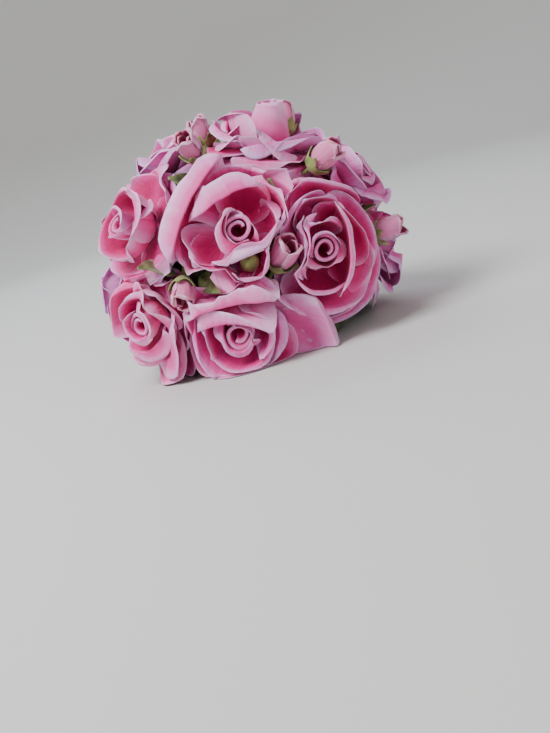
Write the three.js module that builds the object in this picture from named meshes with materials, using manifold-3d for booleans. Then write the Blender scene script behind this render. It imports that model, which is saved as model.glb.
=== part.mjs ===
// A bouffant hat of the 1960s: a hollow cap of stiffened net, covered all over with large silk roses,
// with rosebuds in green calyxes and single leaves in the gaps between them.
// Millimetres, +Z up. +X is the front, over the forehead, and -Y the wearer's right side.
// The hat rests on two flat stretches of the cap's rim, left and right, at z = 0, and the origin is there
// under the middle of the whole hat.
import * as THREE from "three";
import Module from "manifold-3d";

// The cap: an oval dome, widest above its rim as a bouffant hat is, with a rim that arches up in front and behind.
const HEAD_LENGTH = 196; // inside the rim, front to back
const HEAD_WIDTH = 162; // inside the rim, side to side
const CAP_HEIGHT = 170;
const CAP_WALL = 2;
const CAP_WIDEST = 66; // height of the widest section
const CAP_BULGE_SHARE = 1.02; // widest section over the rim's
const CAP_SQUARENESS = 2.3; // 2 is an ellipse, more is boxier
const RIM_ARCH = 22;
const RIM_FLAT = 0.5; // share of each quarter turn, from the side, over which the rim is flat

// The roses
const ROSE_RADIUS = 60;
const ROSE_HEIGHT = 36; // from the cap to the tip of the rolled centre
const PETAL_WALL = 1.2;
const PETAL_OVERLAP_SHARE = 0.05; // how far a petal's one edge lies further out than its other, as a share of its radius
const PETAL_DRAPE_SHARE = 0.6; // how closely the petals follow the cap where it curves away, from 0 to 1
const ROSE_REACH = 1.28; // most that a petal reaches, in rose radii
const HEART_RADIUS = 4; // where the rose is sewn to the cap
const HEART_SIDES = 8;
const ROLL_DEPTH = 20; // bottom of the hole in the rolled centre, over the cap

// The buds, calyxes and leaves
const BUD_LENGTH = 34; // from the bottom of its calyx to its ragged tip
const BUD_RADIUS = 10.5;
const CALYX_WALL = 1.2;
const STEM_RADIUS = 1.6;
const LEAF_LENGTH = 36;
const LEAF_WIDTH = 19;
const LEAF_STALK = 3.6; // width of a leaf's foot
const LEAF_WALL = 1;
const LEAF_KEEL = 2.5; // rise of a leaf's edges over its midrib

// Clearances
const GAP = 0.35; // between pieces that touch on the real hat
const ROOM_CORNERS = 14; // higher makes the corners of a rose's room sharper
const ROSE_LIFT = 0.2; // more between a rose and the cap, whose flat facets meet at ridges
const FLOOR_GAP = 0.3; // petals over the surface that the rim rests on

// Rings of petals in a rose, from the outermost to the rolled centre. Lengths and heights are shares of the rose's own
// radius or height. slope is the petal's angle from the rose's axis at its foot, middle and rim, in degrees. rows are
// the shares of the length at which the petal bends.
const PETAL_RINGS = [
  { count: 5, start: 20, foot: 0.2, lift: 0.12, length: 1.1, slope: [84, 60, 96], rows: [0.4, 0.75, 1] },
  { count: 4, start: 50, foot: 0.19, lift: 0.3, length: 0.68, slope: [70, 34, 80], rows: [0.55, 1] },
  { count: 3, start: 10, foot: 0.17, lift: 0.52, length: 0.34, slope: [44, 8, 50], rows: [1] },
  { count: 2, start: 70, foot: 0.12, lift: 0.64, length: 0.24, slope: [4, 0, 20], rows: [1] },
];
const PETAL_CORNERS = 4;
const PETAL_SPREAD = [-0.9, -0.4, 0.4, 0.84]; // where the corners lie across a petal, from edge to edge
const PETAL_SHOULDER_SHARE = 0.24; // how much shorter its edges are

// around: degrees from the front, minus on the wearer's right. rise: share of the cap's height.
// lean: added to the cap's outward direction to give the rose's axis. spin: degrees. size: share of ROSE_RADIUS.
const ROSES = [
  { name: "rose_top", around: -5, rise: 0.965, lean: [0.05, -0.15, 0.0], spin: 20, size: 1.06 },
  { name: "rose_right_middle", around: -89, rise: 0.66, lean: [0.08, -0.1, -0.15], spin: 170, size: 1.04 },
  { name: "rose_right_front", around: -52, rise: 0.45, lean: [-0.25, -0.3, 0.05], spin: 80, size: 1.02 },
  { name: "rose_right_low", around: -94, rise: 0.29, lean: [0.0, 0.0, -0.3], spin: 20, size: 0.98 },
  { name: "rose_right_back", around: -142, rise: 0.36, lean: [0.1, -0.1, -0.1], spin: 200, size: 0.95 },
  { name: "rose_right_upper", around: -143, rise: 0.76, lean: [0.0, -0.1, -0.1], spin: 250, size: 0.98 },
  { name: "rose_front_upper", around: -4, rise: 0.68, lean: [0.0, 0.0, 0.1], spin: 310, size: 0.9 },
  { name: "rose_front_low", around: 6, rise: 0.34, lean: [0.0, 0.0, 0.1], spin: 40, size: 0.8 },
  { name: "rose_left_front", around: 54, rise: 0.44, lean: [0.0, 0.1, 0.0], spin: 120, size: 1.0 },
  { name: "rose_left_middle", around: 88, rise: 0.68, lean: [0.0, 0.0, -0.1], spin: 220, size: 1.02 },
  { name: "rose_left_low", around: 94, rise: 0.28, lean: [0.0, 0.0, -0.2], spin: 60, size: 0.96 },
  { name: "rose_left_back", around: 139, rise: 0.36, lean: [0.0, 0.0, -0.1], spin: 300, size: 0.96 },
  { name: "rose_left_upper", around: 140, rise: 0.77, lean: [0.0, 0.1, 0.0], spin: 10, size: 0.98 },
  { name: "rose_back", around: 178, rise: 0.46, lean: [0.0, 0.0, 0.0], spin: 90, size: 0.9 },
  { name: "rose_top_back", around: 165, rise: 0.955, lean: [-0.1, 0.05, 0.0], spin: 170, size: 0.85 },
];

// Buds on short stems between the roses. towards: direction of the bud. stand: from the cap to the bottom of its
// calyx, as a share of ROSE_HEIGHT.
// sepals: how much of the bud they cover, from 0 to 1.
const BUDS = [
  { name: "top_back", around: -13, rise: 1.0, towards: [-0.25, -0.2, 0.95], stand: 0.44, size: 0.9, sepals: 0.4 },
  { name: "upper_back", around: -97, rise: 0.95, towards: [-0.3, -0.6, 0.75], stand: 0.56, size: 0.95, sepals: 0.55 },
  { name: "hanging", around: -120, rise: 0.59, towards: [-0.15, -0.8, -0.58], stand: 0.61, size: 0.9, sepals: 0.5 },
  { name: "side", around: -82, rise: 0.385, towards: [0.55, -0.62, 0.56], stand: 0.5, size: 1.1, sepals: 0.5 },
  { name: "green_high", around: -88, rise: 0.47, towards: [0.1, -0.95, 0.3], stand: 0.44, size: 0.5, sepals: 0.85 },
  { name: "green_low", around: -88, rise: 0.4, towards: [0.0, -0.95, -0.1], stand: 0.44, size: 0.5, sepals: 0.85 },
  { name: "front_upper", around: -42, rise: 0.81, towards: [0.85, -0.3, 0.35], stand: 0.44, size: 1.1, sepals: 0.4 },
  { name: "front", around: -20, rise: 0.41, towards: [0.92, -0.2, 0.1], stand: 0.39, size: 1.0, sepals: 0.45 },
  { name: "top_front", around: 12, rise: 0.9, towards: [0.1, 0.35, 0.93], stand: 0.61, size: 1.0, sepals: 0.35 },
  { name: "left_front", around: 57, rise: 0.66, towards: [0.4, 0.8, 0.3], stand: 0.44, size: 1.0, sepals: 0.5 },
  { name: "left_upper", around: 95, rise: 0.92, towards: [-0.1, 0.7, 0.7], stand: 0.56, size: 0.95, sepals: 0.5 },
  { name: "left_back", around: 117, rise: 0.54, towards: [-0.4, 0.85, 0.2], stand: 0.42, size: 0.95, sepals: 0.5 },
  { name: "back", around: 160, rise: 0.7, towards: [-0.8, 0.3, 0.5], stand: 0.5, size: 0.9, sepals: 0.5 },
];

// Leaves between the roses. towards: direction of the tip. facing: direction of the upper face.
const LEAVES = [
  { name: "leaf_upper_back", around: -104, rise: 0.88, towards: [-0.7, -0.55, 0.4], facing: [-0.2, -0.6, 0.8], size: 1.0 },
  { name: "leaf_back_pair_high", around: -124, rise: 0.54, towards: [-0.6, -0.75, 0.45], facing: [-0.3, -0.7, 0.6], size: 1.0 },
  { name: "leaf_back_pair_low", around: -112, rise: 0.5, towards: [0.35, -0.75, -0.3], facing: [0.0, -1, 0.3], size: 0.8 },
  { name: "leaf_side", around: -95, rise: 0.46, towards: [-0.45, -0.8, 0.1], facing: [0, -0.6, 0.8], size: 0.75 },
  { name: "leaf_front_upper", around: -58, rise: 0.75, towards: [-0.1, -0.75, 0.6], facing: [0.3, -0.7, 0.6], size: 0.9 },
  { name: "leaf_front", around: -22, rise: 0.5, towards: [0.85, -0.25, 0.5], facing: [0.4, -0.3, 0.9], size: 0.9 },
  { name: "leaf_left_front", around: 62, rise: 0.6, towards: [0.1, 0.85, 0.4], facing: [0.2, 0.8, 0.5], size: 1.0 },
  { name: "leaf_left_back", around: 112, rise: 0.52, towards: [-0.2, 0.85, -0.3], facing: [-0.2, 0.9, 0.3], size: 1.0 },
];

const MATERIALS = {
  cap: new THREE.MeshStandardMaterial({ color: 0x55603a, roughness: 0.9, metalness: 0 }),
  petals: new THREE.MeshStandardMaterial({ color: 0xd9689a, roughness: 0.75, metalness: 0 }),
  buds: new THREE.MeshStandardMaterial({ color: 0xe9a9c4, roughness: 0.75, metalness: 0 }),
  greens: new THREE.MeshStandardMaterial({ color: 0x7d8f4f, roughness: 0.8, metalness: 0 }),
};

const wasm = await Module();
wasm.setup();

const UP = new THREE.Vector3(0, 0, 1);
const FORWARD = new THREE.Vector3(1, 0, 0);
const CAP_CENTRE = new THREE.Vector3(0, 0, CAP_WIDEST);
const radians = THREE.MathUtils.degToRad;
const lerp = THREE.MathUtils.lerp;

// A repeatable number from -1 to 1 for the slight differences between petals.
function vary(a, b) {
  const wave = Math.sin(a * 12.9898 + b * 78.233) * 437.5453;
  return 2 * (wave - Math.floor(wave)) - 1;
}

// Semi-axes of the cap's surface, set in by the given depth: along X, along Y, up, and down below the widest section.
function capAxes(inset) {
  const shrink = (1 - CAP_BULGE_SHARE ** -CAP_SQUARENESS) ** (1 / CAP_SQUARENESS);
  return {
    x: (HEAD_LENGTH / 2) * CAP_BULGE_SHARE + CAP_WALL - inset,
    y: (HEAD_WIDTH / 2) * CAP_BULGE_SHARE + CAP_WALL - inset,
    up: CAP_HEIGHT - CAP_WIDEST - inset,
    down: CAP_WIDEST / shrink,
  };
}

// How far out a point is, as a share of the distance to the cap's outer surface in its direction.
function capShare(offset) {
  const axes = capAxes(0);
  const level = Math.hypot(offset.x / axes.x, offset.y / axes.y);
  const rise = Math.abs(offset.z) / (offset.z > 0 ? axes.up : axes.down);
  return (level ** CAP_SQUARENESS + rise ** CAP_SQUARENESS) ** (1 / CAP_SQUARENESS);
}

function capPoint(around, height, inset) {
  const axes = capAxes(inset);
  const z = height - CAP_WIDEST;
  const rise = Math.min(1, Math.abs(z) / (z > 0 ? axes.up : axes.down));
  const level = (1 - rise ** CAP_SQUARENESS) ** (1 / CAP_SQUARENESS);
  return new THREE.Vector3(axes.x * level * Math.cos(around), axes.y * level * Math.sin(around), height);
}

function capNormal(point) {
  const offset = point.clone().sub(CAP_CENTRE);
  const step = 0.01;
  const slope = (axis) => {
    const ahead = offset.clone();
    ahead[axis] += step;
    return capShare(ahead) - capShare(offset);
  };
  return new THREE.Vector3(slope("x"), slope("y"), slope("z")).normalize();
}

function rimHeight(around) {
  const fromSide = Math.abs(Math.cos(around));
  const t = Math.max(0, (fromSide - RIM_FLAT) / (1 - RIM_FLAT));
  return RIM_ARCH * t * t * (3 - 2 * t);
}

// A closed solid from an indexed list of corners.
function solidFrom(corners, triangles) {
  const vertProperties = new Float32Array(corners.flatMap((p) => [p.x, p.y, p.z]));
  return new wasm.Manifold(new wasm.Mesh({ numProp: 3, vertProperties, triVerts: new Uint32Array(triangles) }));
}

// A closed solid from rings of points, anticlockwise from above, listed from the top down its outside and, on a
// hollow or folded piece, back up and in. The first and last entries are single points. Rings of equally many points
// are joined point by point, and others from the pair of points that lie nearest. On the way in the quads are split
// along the other diagonal, so that both faces of a thin wall bend alike.
function solidFromRings(rings, isInward = () => false) {
  const corners = [];
  const triangles = [];
  let upper = null;
  rings.forEach((ring, k) => {
    const lower = { start: corners.length, points: ring, count: ring.length, first: 0, done: 0 };
    corners.push(...ring);
    if (upper && upper.count === lower.count) lower.first = upper.first;
    if (upper && upper.count !== lower.count) {
      const from = upper.points[upper.first];
      ring.forEach((point, i) => {
        if (point.distanceTo(from) < ring[lower.first].distanceTo(from)) lower.first = i;
      });
    }
    const at = (side, steps) => side.start + ((side.first + side.done + steps) % side.count);
    const share = (side) => (side.count > 1 && side.done < side.count ? (side.done + 1) / side.count : Infinity);
    while (upper && (share(upper) < Infinity || share(lower) < Infinity)) {
      const isUpperNext = isInward(k) ? share(upper) < share(lower) : share(upper) <= share(lower);
      const next = isUpperNext ? upper : lower;
      triangles.push(at(upper, 0), at(lower, 0), at(next, 1));
      next.done += 1;
    }
    upper = { ...lower, done: 0 };
  });
  return solidFrom(corners, triangles);
}

// A sheet of cloth as a closed solid: surface(s, t) gives its middle surface, s from -1 to 1 and t from 0 to 1.
function sheetSolid(surface, columns, rows, wall) {
  const grid = [];
  for (let j = 0; j <= rows; j++) {
    for (let i = 0; i <= columns; i++) grid.push(surface((2 * i) / columns - 1, j / rows));
  }
  const width = columns + 1;
  const at = (i, j) => grid[Math.min(rows, Math.max(0, j)) * width + Math.min(columns, Math.max(0, i))];
  const corners = [[], []];
  for (let j = 0; j <= rows; j++) {
    for (let i = 0; i <= columns; i++) {
      const across = at(i + 1, j).clone().sub(at(i - 1, j));
      const along = at(i, j + 1).clone().sub(at(i, j - 1));
      const normal = across.cross(along).normalize();
      corners[0].push(at(i, j).clone().addScaledVector(normal, wall / 2));
      corners[1].push(at(i, j).clone().addScaledVector(normal, -wall / 2));
    }
  }
  const under = grid.length;
  const triangles = [];
  const quad = (a, b, c, d) => triangles.push(a, b, c, a, c, d);
  for (let j = 0; j < rows; j++) {
    for (let i = 0; i < columns; i++) {
      const a = j * width + i;
      quad(a, a + 1, a + width + 1, a + width);
      quad(under + a + width, under + a + width + 1, under + a + 1, under + a);
    }
  }
  for (let i = 0; i < columns; i++) {
    const top = rows * width + i;
    quad(i + 1, i, under + i, under + i + 1);
    quad(top, top + 1, under + top + 1, under + top);
  }
  for (let j = 0; j < rows; j++) {
    const a = j * width;
    const b = a + columns;
    quad(a, a + width, under + a + width, under + a);
    quad(b + width, b, under + b, under + b + width);
  }
  return solidFrom(corners.flat(), triangles);
}

function geometryOf(solid) {
  const mesh = solid.getMesh();
  const geometry = new THREE.BufferGeometry();
  geometry.setAttribute("position", new THREE.BufferAttribute(new Float32Array(mesh.vertProperties), 3));
  geometry.setIndex(new THREE.BufferAttribute(new Uint32Array(mesh.triVerts), 1));
  return geometry;
}

// A named mesh in its own frame, at the foot of the flower that it belongs to.
function meshOf(name, solid, material, frame = new THREE.Matrix4()) {
  const geometry = geometryOf(solid);
  geometry.computeVertexNormals();
  const mesh = new THREE.Mesh(geometry, material);
  mesh.name = name;
  mesh.applyMatrix4(frame);
  return mesh;
}

// The largest body of a solid: what a cut leaves loose falls away.
function mainBody(solid) {
  return solid.decompose().reduce((most, body) => (body.volume() > most.volume() ? body : most));
}

// Frame at a foot on the cap, its Z along the axis and its X as near as can be to the given direction.
function footFrame(foot, axis, across) {
  const level = axis.clone().cross(across).normalize();
  return new THREE.Matrix4().makeBasis(level.clone().cross(axis), level, axis).setPosition(foot);
}

// The cap
const CAP_SEGMENTS = 24;
const CAP_LOW_ROWS = 2;
const CAP_HIGH_ROWS = 4;

function capWallRings(inset) {
  const rings = [];
  for (let row = 0; row < CAP_LOW_ROWS + CAP_HIGH_ROWS; row++) {
    const ring = [];
    for (let i = 0; i < CAP_SEGMENTS; i++) {
      const around = (2 * Math.PI * i) / CAP_SEGMENTS;
      const low = lerp(rimHeight(around), CAP_WIDEST, row / CAP_LOW_ROWS);
      const turn = (Math.PI / 2) * ((row - CAP_LOW_ROWS) / CAP_HIGH_ROWS);
      const high = CAP_WIDEST + capAxes(inset).up * Math.sin(turn);
      ring.push(capPoint(around, row < CAP_LOW_ROWS ? low : high, inset));
    }
    rings.push(ring);
  }
  return rings;
}

function makeCap() {
  const outer = capWallRings(0);
  const inner = capWallRings(CAP_WALL);
  const top = [new THREE.Vector3(0, 0, CAP_HEIGHT)];
  const ceiling = [new THREE.Vector3(0, 0, CAP_HEIGHT - CAP_WALL)];
  return solidFromRings([top, ...outer.reverse(), ...inner, ceiling]);
}

const cap = meshOf("cap", makeCap(), MATERIALS.cap);

// Sets a disc of the given radius, square to the axis, down along it until it is clear of the cap's facets by GAP.
function seatOnCap(point, axis, radius = 0) {
  const start = point.clone().addScaledVector(axis, CAP_WALL + GAP);
  const [hit] = new THREE.Raycaster(start, axis.clone().negate()).intersectObject(cap);
  const slope = hit.face.normal.dot(axis);
  return hit.point.addScaledVector(axis, (GAP + radius * Math.sqrt(1 - slope ** 2)) / slope);
}

const onCap = (row) => capPoint(radians(row.around), row.rise * CAP_HEIGHT, 0);

// Roses

// Where each rose stands, with the walls of the room it has between its neighbours.
function roseRooms() {
  const rooms = ROSES.map((row) => {
    const outward = capNormal(onCap(row));
    const axis = outward.clone().add(new THREE.Vector3(...row.lean)).normalize();
    const across = axis.z > 0.95 ? FORWARD : UP.clone().cross(axis);
    const frame = footFrame(onCap(row).addScaledVector(outward, GAP + ROSE_LIFT), axis, across);
    const foot = new THREE.Vector3().setFromMatrixPosition(frame);
    const middle = foot.clone().addScaledVector(axis, ROSE_HEIGHT / 2);
    return { row, frame, axis, foot, middle, radius: ROSE_RADIUS * row.size, walls: [] };
  });
  for (const room of rooms) {
    for (const other of rooms) {
      const away = other.middle.clone().sub(room.middle);
      const distance = away.length();
      if (other === room || distance > ROSE_REACH * (room.radius + other.radius)) continue;
      const share = (distance ** 2 + room.radius ** 2 - other.radius ** 2) / (2 * distance);
      away.normalize();
      room.walls.push({ away, reach: away.dot(room.middle) + share });
    }
    room.walls.push({ away: UP.clone().negate(), reach: -FLOOR_GAP });
  }
  return rooms;
}

// How far a line square to the rose's axis, at a height along it, can run towards a side before it meets a wall.
// The walls are blended, so that the room has rounded corners.
function roomTowards(room, side, height) {
  const start = room.foot.clone().addScaledVector(room.axis, height);
  const least = PETAL_WALL / 2 + GAP / 2;
  let crowding = 0;
  for (const wall of room.walls) {
    const facing = wall.away.dot(side);
    const spare = wall.reach - wall.away.dot(start) - least;
    if (facing > 0) crowding += Math.max(0, facing / Math.max(1, spare)) ** ROOM_CORNERS;
  }
  return crowding ? crowding ** (-1 / ROOM_CORNERS) : Infinity;
}

// Places a petal's point, given round the rose's axis. The rose follows the curve of the cap below it, and its
// outer part is drawn in where a neighbour or the floor leaves it less room.
function settle(room, radius, angle, height) {
  const side = new THREE.Vector3(Math.cos(angle), Math.sin(angle), 0).transformDirection(room.frame);
  const under = room.foot.clone().addScaledVector(side, radius);
  const offset = under.sub(CAP_CENTRE);
  const length = offset.length();
  const above = length - length / capShare(offset) - GAP - ROSE_LIFT;
  const facing = Math.max(0.4, offset.dot(room.axis) / length);
  const level = height - (above > 0 ? PETAL_DRAPE_SHARE * above : above) / facing;
  const reach = roomTowards(room, side, level);
  const free = ROSE_REACH * room.radius;
  const kept = Math.min(0.3 * room.radius, 0.6 * reach);
  const squeeze = Math.min(1, (reach - kept) / (free - kept));
  const drawn = radius < kept ? radius : kept + (radius - kept) * squeeze;
  const point = room.foot.clone().addScaledVector(side, drawn).addScaledVector(room.axis, level);
  point.z = Math.max(point.z, FLOOR_GAP + PETAL_WALL / 2);
  return point;
}

// Corners round a ring of petals at a share t of their length. Each petal's edges are shorter than its middle, and
// one edge lies further out than the next petal's.
function petalRow(room, ring, t) {
  const size = room.radius;
  const steps = 12;
  const row = [];
  for (let k = 0; k < ring.count; k++) {
    const seed = room.row.spin + 31 * ring.count + 7 * ring.length;
    const length = ring.length * size * (1 + 0.04 * vary(seed, k));
    const turn = radians(room.row.spin + ring.start + (360 / ring.count) * k + 2 * t * vary(seed, k + 10));
    const opening = 6 * vary(seed, k + 20);
    for (let c = 0; c < PETAL_CORNERS; c++) {
      const even = (2 * (c + 0.5)) / PETAL_CORNERS - 1;
      const s = lerp(even, PETAL_SPREAD[c], Math.min(1, 2 * t));
      const run = t * (1 - PETAL_SHOULDER_SHARE * s ** 4);
      let radius = ring.foot * size;
      let height = ring.lift * ROSE_HEIGHT;
      for (let n = 0; n < steps; n++) {
        const along = ((n + 0.5) / steps) * run;
        const body = lerp(ring.slope[0], ring.slope[1] + opening, Math.min(1, along / 0.7));
        const curl = (ring.slope[2] - ring.slope[1]) * Math.max(0, (along - 0.62) / 0.38) ** 1.5;
        radius += (Math.sin(radians(body + curl)) * length * run) / steps;
        height += (Math.cos(radians(body + curl)) * length * run) / steps;
      }
      const lap = 1 + PETAL_OVERLAP_SHARE * s * Math.min(1, 2 * t);
      row.push(settle(room, radius * lap, turn + (Math.PI / ring.count) * s, height));
    }
  }
  return row;
}

// Both faces of a ring of petals, as rows of corners from its foot to its rim and back.
function petalFaces(room, ring) {
  const rows = [0, ...ring.rows].map((t) => petalRow(room, ring, t));
  const outside = [];
  const inside = [];
  for (let j = 1; j < rows.length; j++) {
    const count = rows[j].length;
    const normals = rows[j].map((corner, i) => {
      const across = rows[j][(i + 1) % count].clone().sub(rows[j][(i + count - 1) % count]);
      const along = rows[Math.min(j + 1, rows.length - 1)][i].clone().sub(rows[j - 1][i]);
      return across.cross(along).normalize();
    });
    outside.push(rows[j].map((corner, i) => corner.clone().addScaledVector(normals[i], PETAL_WALL / 2)));
    inside.unshift(rows[j].map((corner, i) => corner.clone().addScaledVector(normals[i], -PETAL_WALL / 2)));
  }
  return { foot: rows[0], outside, inside };
}

// A rose is one folded sheet: down the outside of the rolled centre and in and out of every ring of petals, round
// a solid heart where they are sewn together.
function makeRose(room) {
  const heart = Array.from({ length: HEART_SIDES }, (_, i) => {
    const angle = (2 * Math.PI * i) / HEART_SIDES;
    const point = new THREE.Vector3(HEART_RADIUS * Math.cos(angle), HEART_RADIUS * Math.sin(angle), 0);
    return seatOnCap(point.applyMatrix4(room.frame), room.axis);
  });
  const rows = [[seatOnCap(room.foot, room.axis)], heart];
  const insides = new Set();
  PETAL_RINGS.forEach((ring, k) => {
    const faces = petalFaces(room, ring);
    if (k > 0) rows.push(faces.foot);
    rows.push(...faces.outside, ...faces.inside);
    faces.inside.forEach((row) => insides.add(row));
  });
  rows.push([settle(room, 0, 0, ROLL_DEPTH)]);
  rows.reverse();
  return solidFromRings(rows, (k) => insides.has(rows[k]));
}

// Buds and calyxes

// Shape of a bud in shares of its length and radius: radii at its base, belly, lip and inner fold.
const BUD_PROFILE = { base: [0.1, 0.5], belly: [0.45, 1], lip: [0.92, 0.72], fold: [0.86, 0.4], hollow: [0.62, 0] };
const BUD_SIDES = 5;

// A ring of points round Z, its odd points raised and moved out by the given lengths.
function lobedRing(radius, height, raise = 0, flare = 0) {
  return Array.from({ length: BUD_SIDES }, (_, i) => {
    const angle = (2 * Math.PI * i) / BUD_SIDES;
    const odd = i % 2;
    const out = radius + odd * flare;
    return new THREE.Vector3(out * Math.cos(angle), out * Math.sin(angle), height + odd * raise);
  });
}

const onAxis = (height) => [new THREE.Vector3(0, 0, height)];

function budSizes(row) {
  const length = BUD_LENGTH * row.size;
  const radius = BUD_RADIUS * row.size;
  const at = (key) => ({ height: BUD_PROFILE[key][0] * length, radius: BUD_PROFILE[key][1] * radius });
  return { length, radius, base: at("base"), belly: at("belly"), lip: at("lip"), fold: at("fold"), hollow: at("hollow") };
}

// The petals of a bud, with a ragged lip that opens a little.
function makeBud(row) {
  const { length, base, belly, lip, fold, hollow } = budSizes(row);
  const ragged = 0.08 * length;
  return solidFromRings([
    onAxis(hollow.height),
    lobedRing(fold.radius, fold.height),
    lobedRing(lip.radius, lip.height - ragged, 2 * ragged, ragged / 2),
    lobedRing(belly.radius, belly.height),
    lobedRing(base.radius, base.height),
    onAxis(base.height),
  ]);
}

// The green cup of sepals round a bud, with its stem down to the cap.
function makeCalyx(row) {
  const { base, belly } = budSizes(row);
  const foot = -row.stand * ROSE_HEIGHT;
  const edge = lerp(base.height, belly.height, row.sepals);
  const edgeRadius = lerp(base.radius, belly.radius, row.sepals) + GAP;
  const sepal = 0.85 * (belly.height - edge);
  const spread = 0.85 * (belly.radius + GAP - edgeRadius);
  return solidFromRings([
    onAxis(base.height - GAP),
    lobedRing(base.radius + GAP, base.height - GAP),
    lobedRing(edgeRadius, edge, sepal, spread),
    lobedRing(edgeRadius + CALYX_WALL, edge, sepal, spread),
    lobedRing(base.radius + GAP + CALYX_WALL, base.height - GAP - CALYX_WALL),
    lobedRing(STEM_RADIUS, 0),
    lobedRing(STEM_RADIUS, foot),
    onAxis(foot),
  ]);
}

// The space that a bud, its calyx and its stem take, kept free of petals.
function budSpace(row) {
  const { length, base, belly, lip } = budSizes(row);
  const foot = -row.stand * ROSE_HEIGHT;
  const free = GAP + 0.04 * length;
  const around = free + CALYX_WALL + GAP;
  return solidFromRings([
    onAxis(1.02 * length + free),
    lobedRing(lip.radius + around, length + free),
    lobedRing(belly.radius + around, belly.height),
    lobedRing(base.radius + around, 0),
    lobedRing(STEM_RADIUS + free, -0.3 * length),
    lobedRing(STEM_RADIUS + free, foot - GAP),
    onAxis(foot - GAP),
  ]);
}

function budFrame(row) {
  const axis = new THREE.Vector3(...row.towards).normalize();
  const across = Math.abs(axis.z) > 0.9 ? FORWARD : UP.clone().cross(axis);
  const frame = footFrame(seatOnCap(onCap(row), axis, STEM_RADIUS), axis, across);
  return frame.multiply(new THREE.Matrix4().makeTranslation(0, 0, row.stand * ROSE_HEIGHT));
}

// Leaves

// A leaf, pointed at its tip and keeled along its midrib, in a frame with Z towards its tip and X across.
function makeLeaf(row, wall, margin = 0) {
  const length = LEAF_LENGTH * row.size;
  const halfWidth = (LEAF_WIDTH * row.size) / 2;
  const surface = (s, t) => {
    const breadth = Math.sin(Math.PI * 0.96 * t ** 0.85);
    const bend = 0.12 * length * t * t;
    const x = s * (Math.max(LEAF_STALK / 2, halfWidth * breadth) + margin);
    return new THREE.Vector3(x, -bend + LEAF_KEEL * Math.abs(s) * breadth, t * (length + margin));
  };
  return sheetSolid(surface, 2, 3, wall);
}

function leafFrame(row) {
  const axis = new THREE.Vector3(...row.towards).normalize();
  const across = new THREE.Vector3(...row.facing).cross(axis);
  return footFrame(seatOnCap(onCap(row), axis, LEAF_STALK / 2), axis, across);
}

// The whole hat
const hat = new THREE.Group();
hat.add(cap);
const spaces = [];
for (const row of BUDS) {
  const frame = budFrame(row);
  hat.add(meshOf(`bud_${row.name}`, makeBud(row), MATERIALS.buds, frame));
  hat.add(meshOf(`calyx_${row.name}`, makeCalyx(row), MATERIALS.greens, frame));
  spaces.push(budSpace(row).transform(frame.elements));
}
for (const row of LEAVES) {
  const frame = leafFrame(row);
  hat.add(meshOf(row.name, makeLeaf(row, LEAF_WALL), MATERIALS.greens, frame));
  spaces.push(makeLeaf(row, LEAF_WALL + 2 * GAP, GAP).transform(frame.elements));
}
const taken = wasm.Manifold.union(spaces);
for (const room of roseRooms()) {
  const rose = mainBody(makeRose(room).subtract(taken)).transform(room.frame.clone().invert().elements);
  hat.add(meshOf(room.row.name, rose, MATERIALS.petals, room.frame));
}

// The origin is under the middle of the hat, on the surface that it rests on.
const extent = new THREE.Box3().setFromObject(hat, true);
const middle = extent.getCenter(new THREE.Vector3());
hat.position.set(-middle.x, -middle.y, -extent.min.z);

export default hat;
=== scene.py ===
"""A bouffant hat covered in large silk roses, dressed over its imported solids."""
import math

import bpy
import numpy as np
from mathutils import Matrix, Vector


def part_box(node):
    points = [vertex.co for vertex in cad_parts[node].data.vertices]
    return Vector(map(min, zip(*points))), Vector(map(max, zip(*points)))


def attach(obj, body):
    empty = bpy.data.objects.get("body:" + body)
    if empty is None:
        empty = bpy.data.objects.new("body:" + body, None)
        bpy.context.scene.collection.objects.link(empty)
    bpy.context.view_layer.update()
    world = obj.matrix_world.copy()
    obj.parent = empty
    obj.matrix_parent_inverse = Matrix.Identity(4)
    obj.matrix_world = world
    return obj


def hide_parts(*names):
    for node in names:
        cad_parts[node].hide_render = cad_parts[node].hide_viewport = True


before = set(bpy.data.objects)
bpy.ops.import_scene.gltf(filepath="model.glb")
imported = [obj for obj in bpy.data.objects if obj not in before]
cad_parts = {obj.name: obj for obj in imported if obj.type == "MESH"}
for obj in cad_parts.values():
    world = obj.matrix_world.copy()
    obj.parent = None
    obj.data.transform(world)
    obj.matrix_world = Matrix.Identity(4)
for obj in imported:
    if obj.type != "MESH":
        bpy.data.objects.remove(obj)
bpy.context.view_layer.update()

# Sizes, in millimetres
MM = 0.001
HEAD_LENGTH = 196  # inside the rim, front to back
HEAD_WIDTH = 162  # inside the rim, side to side
CAP_HEIGHT = 170
CAP_WALL = 2
CAP_WIDEST = 66  # height of the widest section
CAP_BULGE = 1.02  # widest section over the rim's
CAP_SQUARENESS = 2.3  # 2 is an ellipse, more is boxier
RIM_ARCH = 22
RIM_FLAT = 0.5  # share of each quarter turn, from the side, over which the rim is flat
ROSE_RADIUS = 60
ROSE_HEIGHT = 36  # from the cap to the tip of the rolled centre
ROSE_REACH = 1.28  # roses nearer than this many radii are neighbours
PETAL_WALL = 0.4
CENTRE_TOP = 38  # top of the rolled centre
BUD_LENGTH = 34
BUD_RADIUS = 10.5
CALYX_WALL = 0.8
STEM_RADIUS = 1.6
LEAF_LENGTH = 36
LEAF_WIDTH = 19
LEAF_WALL = 0.6

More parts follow.
